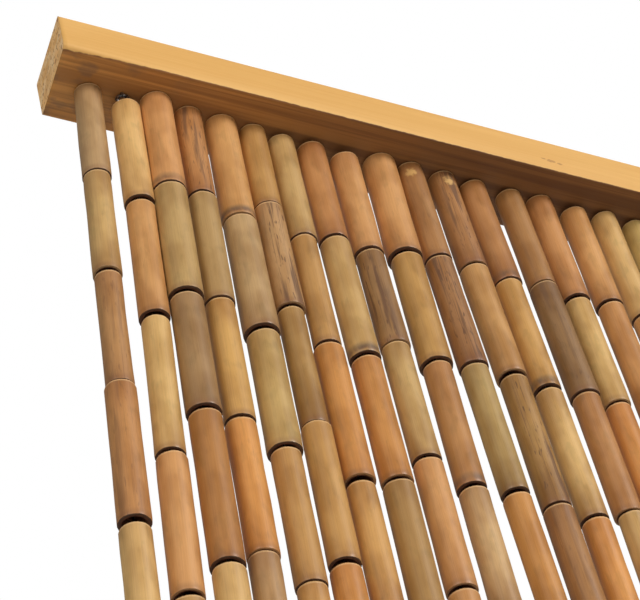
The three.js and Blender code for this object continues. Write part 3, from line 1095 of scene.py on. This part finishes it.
def eye_lines(plans):
    """The middle lines of all screw eyes: a ring under the headrail and a shank up into it."""
    points, edges = [], []
    for strand, plan in enumerate(plans):
        turn = EYE_TURN_SPREAD * spread(strand, EYE_TURN_USE)
        aside = SEEN_EYE_OFFSET if strand == SEEN_EYE_STRAND else Vector((0, 0, 0))
        centre_z = RAIL_BOTTOM - EYE_RING_RADIUS - EYE_WIRE_RADIUS - EYE_GAP
        centre = aside + Vector((plan["x"], STRAND_LINE_Y, centre_z))
        first = len(points)
        points.append((centre + Vector((0, 0, EYE_RING_RADIUS + EYE_SHANK_LENGTH))) * MM)
        for step in range(EYE_RING_STEPS):
            angle = math.pi / 2 + 2 * math.pi * step / (EYE_RING_STEPS - EYE_OPENING_STEPS)
            side = EYE_RING_RADIUS * math.cos(angle)
            points.append((centre + Vector((
                side * math.cos(turn), side * math.sin(turn), EYE_RING_RADIUS * math.sin(angle)))) * MM)
        edges += [(first + step, first + step + 1) for step in range(EYE_RING_STEPS)]
    return lines_mesh("eye_lines", points, edges)


def wire_lines(plans):
    """The wire that strings each strand: from its eye down into its last tube."""
    points, edges = [], []
    for plan in plans:
        first = len(points)
        eye_z = RAIL_BOTTOM - 2 * EYE_RING_RADIUS - EYE_WIRE_RADIUS
        points.append(Vector((plan["x"], STRAND_LINE_Y, eye_z)) * MM)
        low_end = plan["joints"][-1] + TUBE_LENGTH / 3
        for joint, z in enumerate((*plan["joints"][1:-1], low_end), start=1):
            points.append(joint_place(plan, joint, z) * MM)
        edges += [(row, row + 1) for row in range(first, len(points) - 1)]
    return lines_mesh("wire_lines", points, edges)


def lines_mesh(name, points, edges):
    """A mesh of points and edges alone."""
    mesh = bpy.data.meshes.new(name)
    mesh.from_pydata(points, edges, [])
    return mesh


# Building

def add_piece(piece, replaced=()):
    """Puts a piece under its body and hides the solids that it stands for."""
    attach(piece, "root")
    if replaced:
        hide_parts(*replaced)


def build_headrail(fibres):
    """The varnished batten in the place of its solid."""
    mesh = rail_mesh(rail_finish(fibres), rail_end_finish())
    batten = bpy.data.objects.new("headrail_batten", mesh)
    scene.collection.objects.link(batten)
    add_piece(batten, ["headrail"])


def build_strands(fibres):
    """The tubes of each group in the place of its solid, and all the screw eyes and wires."""
    plans = [strand_plan(strand) for strand in range(STRANDS)]
    near_form = tube_form("near_tube", NEAR_OUTLINE, NEAR_SIDES)
    far_form = tube_form("far_tube", FAR_OUTLINE, FAR_SIDES)
    tree = tubes_tree(skin_finish(fibres), cut_finish(fibres), bore_finish())
    values = {
        "Near tube": near_form, "Far tube": far_form, "Unevenness": TUBE_UNEVENNESS * MM,
        "Lump size": TUBE_LUMP_SIZE * MM, "Seed": LUMP_SEED,
    }
    for first in range(0, STRANDS, STRANDS_PER_GROUP):
        number = first // STRANDS_PER_GROUP + 1
        draw = np.random.default_rng(GROUP_SEED + number)
        rows = []
        for strand in range(first, first + STRANDS_PER_GROUP):
            rows += tube_rows(strand, plans[strand], draw)
        piece = made(f"tubes_{number:02d}", points_mesh(f"tube_points_{number:02d}", rows), tree, values)
        add_piece(piece, [f"strands_{number:02d}"])
    for form in (near_form, far_form):
        bpy.data.objects.remove(form)

    wire = wires_tree(wire_finish())
    for name, lines, radius, sides in (
            ("screw_eyes", eye_lines(plans), EYE_WIRE_RADIUS, EYE_WIRE_SIDES),
            ("string_wires", wire_lines(plans), WIRE_RADIUS, WIRE_SIDES)):
        piece = made(name, lines, wire, {"Wire radius": radius * MM, "Wire sides": sides})
        add_piece(piece)


def add_floor():
    """A wide flat floor a little under the curtain."""
    low = cad_box[0].z - FLOOR_DROP
    mesh = bpy.data.meshes.new("floor")
    corners = [(x * FLOOR_REACH, y * FLOOR_REACH, low) for x, y in ((-1, -1), (1, -1), (1, 1), (-1, 1))]
    mesh.from_pydata(corners, [], [(0, 1, 2, 3)])
    mesh.materials.append(floor_finish())
    floor = bpy.data.objects.new("floor", mesh)
    scene.collection.objects.link(floor)


def main():
    """Sets the stage and builds the curtain."""
    scene.view_settings.view_transform = "Standard"
    add_camera()
    add_world()
    for light in LIGHTS:
        add_area_light(**light)
    add_floor()
    fibres = fibre_group()
    build_headrail(fibres)
    build_strands(fibres)


main()
